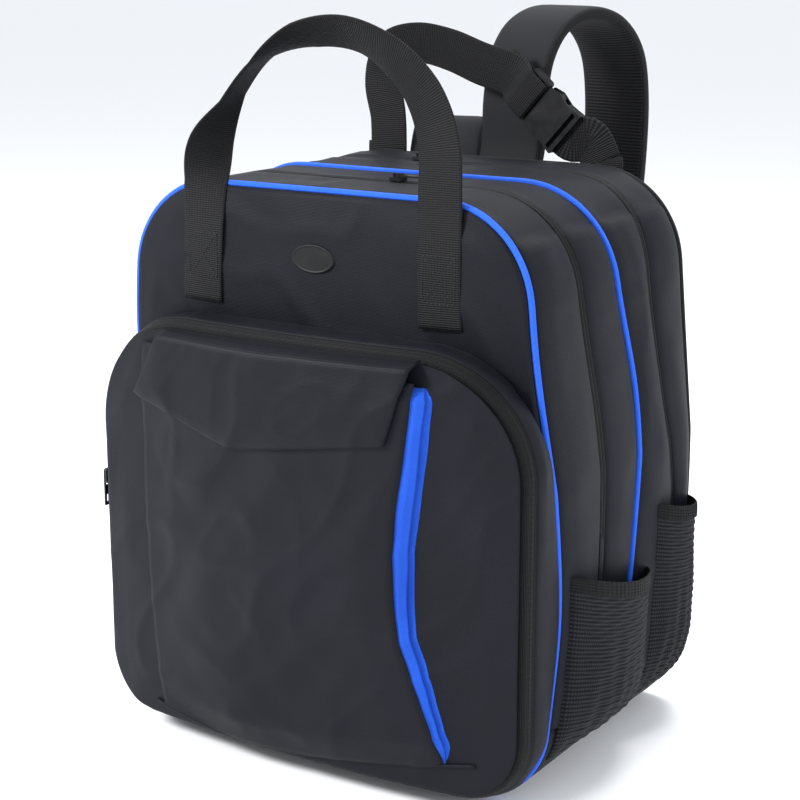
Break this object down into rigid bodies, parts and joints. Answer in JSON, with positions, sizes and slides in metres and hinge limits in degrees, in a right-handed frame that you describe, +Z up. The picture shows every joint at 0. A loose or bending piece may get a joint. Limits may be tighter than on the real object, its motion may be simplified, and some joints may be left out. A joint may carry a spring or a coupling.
{
  "type": "backpack gear bag",
  "caption": "Upright dark fabric gear bag with blue piping, zipped compartments, front pocket with flap, mesh side pockets, webbing carry handles and shoulder straps.",
  "frame": {"origin": "centre of the flat underside of the bag, on the surface it stands on", "axes": "+Z up, -Y out of the front with the flap pocket, +X to the right when facing the front"},
  "size_m": [0.4638, 0.4785, 0.602],
  "materials": {
    "shell_fabric": "charcoal-black woven polyester, fine plain weave, slight sheen",
    "lining_fabric": "thin dark lining cloth",
    "blue_piping": "royal blue woven piping, satin",
    "blue_fabric": "royal blue woven polyester",
    "binding": "black woven binding tape",
    "webbing": "black ribbed nylon webbing",
    "padding_mesh": "black padded spacer mesh and cloth",
    "pocket_mesh": "black ribbed stretch mesh",
    "elastic": "black woven elastic",
    "buckle_plastic": "moulded black acetal, semi-matte",
    "zip_coil": "black zip tape and nylon coil",
    "zip_metal": "black enamelled die-cast metal",
    "badge_rubber": "moulded black rubber, blank",
    "board": "stiff plastic base board"
  },
  "bodies": {
    "bag_body": {"front_panel_lower": "shell_fabric", "front_piping_lower": "blue_piping", "front_gusset_sides": "shell_fabric", "main_zip_tape_sides": "zip_coil", "main_zip_tape_rear": "zip_coil", "middle_gusset": "shell_fabric", "middle_piping": "blue_piping", "divider_panel": "lining_fabric", "rear_gusset_front": "shell_fabric", "rear_zip_chain": "zip_coil", "rear_gusset_back": "shell_fabric", "back_panel": "shell_fabric", "back_binding": "binding", "back_pad": "padding_mesh", "base_boards": "board", "bottom_panel": "shell_fabric", "pocket_gusset": "shell_fabric", "pocket_face_lower": "shell_fabric", "pocket_zip_rim_lower": "zip_coil", "patch_panel_lower": "shell_fabric", "patch_bellows_lower": "blue_fabric", "pocket_elastics": "elastic", "left_bottle_pocket": "pocket_mesh", "right_bottle_pocket": "pocket_mesh", "left_rope_pocket": "pocket_mesh", "right_rope_pocket": "pocket_mesh", "rear_handle_legs": "webbing", "strap_yoke": "padding_mesh", "strap_anchors": "webbing"},
    "lid": {"front_panel_upper": "shell_fabric", "front_piping_upper": "blue_piping", "front_gusset_top": "shell_fabric", "main_zip_tape_top": "zip_coil", "front_handle_legs": "webbing", "badge": "badge_rubber"},
    "front_handle": {"front_handle": "webbing"},
    "main_zip_slider": {"main_zip_slider": "zip_metal"},
    "main_zip_pull": {"main_zip_pull": "zip_metal"},
    "rear_zip_slider": {"rear_zip_slider": "zip_metal"},
    "rear_zip_pull": {"rear_zip_pull": "zip_metal"},
    "pocket_zip_slider": {"pocket_zip_slider": "zip_metal"},
    "pocket_zip_pull": {"pocket_zip_pull": "zip_metal"},
    "pocket_lid": {"pocket_face_upper": "shell_fabric", "pocket_zip_rim_upper": "zip_coil", "patch_panel_upper": "shell_fabric", "patch_bellows_upper": "blue_fabric"},
    "patch_flap": {"patch_flap": "shell_fabric"},
    "rear_handle": {"rear_handle_webbing_left": "webbing", "rear_handle_webbing_right": "webbing", "buckle_socket": "buckle_plastic"},
    "buckle_plug": {"buckle_plug": "buckle_plastic"},
    "buckle_prong_upper": {"buckle_prong_upper": "buckle_plastic"},
    "buckle_prong_lower": {"buckle_prong_lower": "buckle_plastic"},
    "right_strap": {"right_strap_pad": "padding_mesh", "right_ladder_lock": "buckle_plastic"},
    "left_strap": {"left_strap_pad": "padding_mesh", "left_ladder_lock": "buckle_plastic"},
    "right_strap_tail": {"right_strap_tail": "webbing"},
    "left_strap_tail": {"left_strap_tail": "webbing"}
  },
  "joints": [
    {"name": "main_mouth", "type": "hinge", "parent": "bag_body", "child": "lid", "pos_m": [0, -0.129, 0.372], "axis": [1, 0, 0], "range_deg": [0, 60]},
    {"name": "front_handle_fold", "type": "hinge", "parent": "lid", "child": "front_handle", "pos_m": [0, -0.13165, 0.4723], "axis": [-1, 0, 0], "range_deg": [-90, 80]},
    {"name": "main_zip_run", "type": "slide", "parent": "lid", "child": "main_zip_slider", "axis": [1, 0, 0], "range_m": [-0.07, 0.05]},
    {"name": "main_zip_pull_swing", "type": "hinge", "parent": "main_zip_slider", "child": "main_zip_pull", "pos_m": [0.024, -0.06, 0.47445], "axis": [0, -1, 0], "range_deg": [0, 170]},
    {"name": "rear_zip_run", "type": "slide", "parent": "bag_body", "child": "rear_zip_slider", "axis": [1, 0, 0], "range_m": [-0.05, 0.09]},
    {"name": "rear_zip_pull_swing", "type": "hinge", "parent": "rear_zip_slider", "child": "rear_zip_pull", "pos_m": [-0.04, 0.075, 0.47445], "axis": [0, -1, 0], "range_deg": [0, 170]},
    {"name": "pocket_zip_run", "type": "slide", "parent": "bag_body", "child": "pocket_zip_slider", "axis": [0, 0, 1], "range_m": [0, 0.038]},
    {"name": "pocket_zip_pull_swing", "type": "hinge", "parent": "pocket_zip_slider", "child": "pocket_zip_pull", "pos_m": [-0.20945, -0.15713, 0.214], "axis": [0, 1, 0], "range_deg": [0, 160]},
    {"name": "pocket_mouth", "type": "hinge", "parent": "bag_body", "child": "pocket_lid", "pos_m": [0, -0.197, 0.262], "axis": [1, 0, 0], "range_deg": [0, 30]},
    {"name": "patch_flap_lift", "type": "hinge", "parent": "pocket_lid", "child": "patch_flap", "pos_m": [0, -0.1965, 0.351], "axis": [-1, 0, 0], "range_deg": [0, 110]},
    {"name": "rear_handle_fold", "type": "hinge", "parent": "bag_body", "child": "rear_handle", "pos_m": [0, 0.13095, 0.4723], "axis": [1, 0, 0], "range_deg": [0, 45]},
    {"name": "buckle_release", "type": "slide", "parent": "rear_handle", "child": "buckle_plug", "axis": [-0.7431, 0, 0.6691], "range_m": [0, 0.03], "deforming": ["rear_handle_webbing_left"]},
    {"name": "prong_upper_press", "type": "hinge", "parent": "buckle_plug", "child": "buckle_prong_upper", "pos_m": [0.05661, 0.13095, 0.53172], "axis": [0, 1, 0], "range_deg": [0, 6], "stiffness_Nm_per_rad": 0.5},
    {"name": "prong_lower_press", "type": "hinge", "parent": "buckle_plug", "child": "buckle_prong_lower", "pos_m": [0.03386, 0.13095, 0.50646], "axis": [0, -1, 0], "range_deg": [0, 6], "stiffness_Nm_per_rad": 0.5},
    {"name": "right_strap_swing", "type": "hinge", "parent": "bag_body", "child": "right_strap", "pos_m": [0.04, 0.149, 0.471], "axis": [-1, 0, 0], "range_deg": [0, 10]},
    {"name": "right_tail_swing", "type": "hinge", "parent": "bag_body", "child": "right_strap_tail", "pos_m": [0.168, 0.134, 0.078], "axis": [1, 0, 0], "range_deg": [0, 7.1]},
    {"name": "left_strap_swing", "type": "hinge", "parent": "bag_body", "child": "left_strap", "pos_m": [-0.04, 0.149, 0.471], "axis": [1, 0, 0], "range_deg": [0, 6]},
    {"name": "left_tail_swing", "type": "hinge", "parent": "bag_body", "child": "left_strap_tail", "pos_m": [-0.168, 0.134, 0.078], "axis": [0, 0, 1], "range_deg": [0, 19.62]}
  ],
  "couplings": [
    {"joint": "prong_lower_press", "follows": "prong_upper_press", "ratio": 1},
    {"joint": "right_tail_swing", "follows": "right_strap_swing", "ratio": 0.71},
    {"joint": "left_tail_swing", "follows": "left_strap_swing", "ratio": 3.27}
  ]
}
